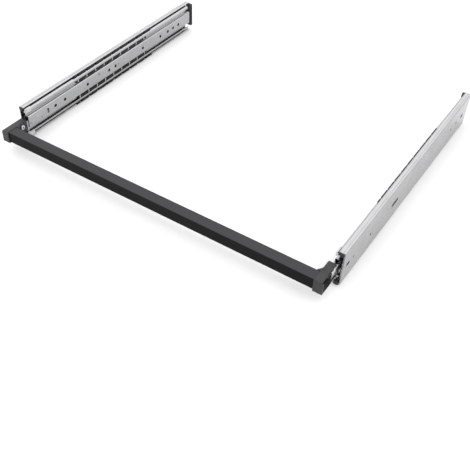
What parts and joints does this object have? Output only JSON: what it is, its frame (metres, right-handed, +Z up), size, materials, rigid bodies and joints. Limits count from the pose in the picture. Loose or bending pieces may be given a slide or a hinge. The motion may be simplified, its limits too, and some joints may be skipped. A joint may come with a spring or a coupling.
{
  "type": "drawer slide",
  "caption": "Pair of full-extension ball-bearing drawer slides with front lock levers joined by a black rectangular release bar.",
  "frame": {"origin": "midway between the cabinet walls, at the front end of the cabinet members and the slides' mid-height", "axes": "+X to the right across the cabinet, +Y to the back along the slides, +Z up; the drawer pulls out along -Y"},
  "size_m": [0.768, 0.668, 0.0762],
  "materials": {
    "zinc_steel": "bright zinc plate over roll-formed steel",
    "bright_steel": "bright zinc plate",
    "pin_steel": "dull plated pins",
    "ball_steel": "polished bearing steel",
    "spring_steel": "drawn wire",
    "black_plastic": "fine moulded grain",
    "dark_plastic": "satin moulded",
    "cage_plastic": "satin moulded",
    "grey_plastic": "satin moulded",
    "light_plastic": "satin moulded",
    "rubber": "matt",
    "black_paint": "fine-texture black powder coat"
  },
  "bodies": {
    "cabinet": {"left_cabinet_member": "zinc_steel", "left_front_buffers": "black_plastic", "left_rear_stop": "dark_plastic", "left_rear_pad": "rubber", "left_rear_stop_rivet": "bright_steel", "right_cabinet_member": "zinc_steel", "right_front_buffers": "black_plastic", "right_rear_stop": "dark_plastic", "right_rear_pad": "rubber", "right_rear_stop_rivet": "bright_steel"},
    "left_outer_cage": {"left_outer_cage": "cage_plastic", "left_outer_balls": "ball_steel"},
    "left_intermediate": {"left_intermediate_member": "zinc_steel", "left_intermediate_bumpers": "light_plastic"},
    "left_inner_cage": {"left_inner_cage": "cage_plastic", "left_inner_balls": "ball_steel"},
    "right_outer_cage": {"right_outer_cage": "cage_plastic", "right_outer_balls": "ball_steel"},
    "right_intermediate": {"right_intermediate_member": "zinc_steel", "right_intermediate_bumpers": "light_plastic"},
    "right_inner_cage": {"right_inner_cage": "cage_plastic", "right_inner_balls": "ball_steel"},
    "drawer": {"left_drawer_member": "zinc_steel", "left_drawer_rear_stop": "grey_plastic", "left_lever_pivot": "pin_steel", "left_guide_pin": "pin_steel", "left_latch_pivot": "pin_steel", "left_lever_spring": "spring_steel", "right_drawer_member": "zinc_steel", "right_drawer_rear_stop": "grey_plastic", "right_lever_pivot": "pin_steel", "right_guide_pin": "pin_steel", "right_latch_pivot": "pin_steel", "right_lever_spring": "spring_steel"},
    "release": {"left_lock_lever": "bright_steel", "left_release_pin": "bright_steel", "left_end_bracket": "black_plastic", "left_bracket_screw": "bright_steel", "right_lock_lever": "bright_steel", "right_release_pin": "bright_steel", "right_end_bracket": "black_plastic", "right_bracket_screw": "bright_steel", "release_bar": "black_paint", "bar_screws": "bright_steel"},
    "left_latch": {"left_latch": "black_plastic"},
    "right_latch": {"right_latch": "black_plastic"}
  },
  "joints": [
    {"name": "drawer_slide", "type": "slide", "parent": "cabinet", "child": "drawer", "axis": [0, -1, 0], "range_m": [0, 0.6]},
    {"name": "left_intermediate_slide", "type": "slide", "parent": "cabinet", "child": "left_intermediate", "axis": [0, -1, 0], "range_m": [0, 0.3]},
    {"name": "left_outer_cage_slide", "type": "slide", "parent": "cabinet", "child": "left_outer_cage", "axis": [0, -1, 0], "range_m": [0, 0.15]},
    {"name": "left_inner_cage_slide", "type": "slide", "parent": "left_intermediate", "child": "left_inner_cage", "axis": [0, -1, 0], "range_m": [0, 0.15]},
    {"name": "right_intermediate_slide", "type": "slide", "parent": "cabinet", "child": "right_intermediate", "axis": [0, -1, 0], "range_m": [0, 0.3]},
    {"name": "right_outer_cage_slide", "type": "slide", "parent": "cabinet", "child": "right_outer_cage", "axis": [0, -1, 0], "range_m": [0, 0.15]},
    {"name": "right_inner_cage_slide", "type": "slide", "parent": "right_intermediate", "child": "right_inner_cage", "axis": [0, -1, 0], "range_m": [0, 0.15]},
    {"name": "release_bar_lift", "type": "hinge", "parent": "drawer", "child": "release", "pos_m": [0, 0.0426, -0.0052], "axis": [-1, 0, 0], "range_deg": [0, 7], "stiffness_Nm_per_rad": 12, "springref_deg": -5.73, "deforming": ["left_lever_spring", "right_lever_spring"]},
    {"name": "left_latch_turn", "type": "hinge", "parent": "drawer", "child": "left_latch", "pos_m": [-0.3752, 0.0624, -0.0025], "axis": [-1, 0, 0], "range_deg": [0, 4.2]},
    {"name": "right_latch_turn", "type": "hinge", "parent": "drawer", "child": "right_latch", "pos_m": [0.3752, 0.0624, -0.0025], "axis": [-1, 0, 0], "range_deg": [0, 4.2]}
  ],
  "couplings": [
    {"joint": "left_intermediate_slide", "follows": "drawer_slide", "ratio": 0.5},
    {"joint": "left_outer_cage_slide", "follows": "drawer_slide", "ratio": 0.25},
    {"joint": "left_inner_cage_slide", "follows": "drawer_slide", "ratio": 0.25},
    {"joint": "right_intermediate_slide", "follows": "drawer_slide", "ratio": 0.5},
    {"joint": "right_outer_cage_slide", "follows": "drawer_slide", "ratio": 0.25},
    {"joint": "right_inner_cage_slide", "follows": "drawer_slide", "ratio": 0.25},
    {"joint": "left_latch_turn", "follows": "release_bar_lift", "ratio": 0.6},
    {"joint": "right_latch_turn", "follows": "release_bar_lift", "ratio": 0.6}
  ]
}
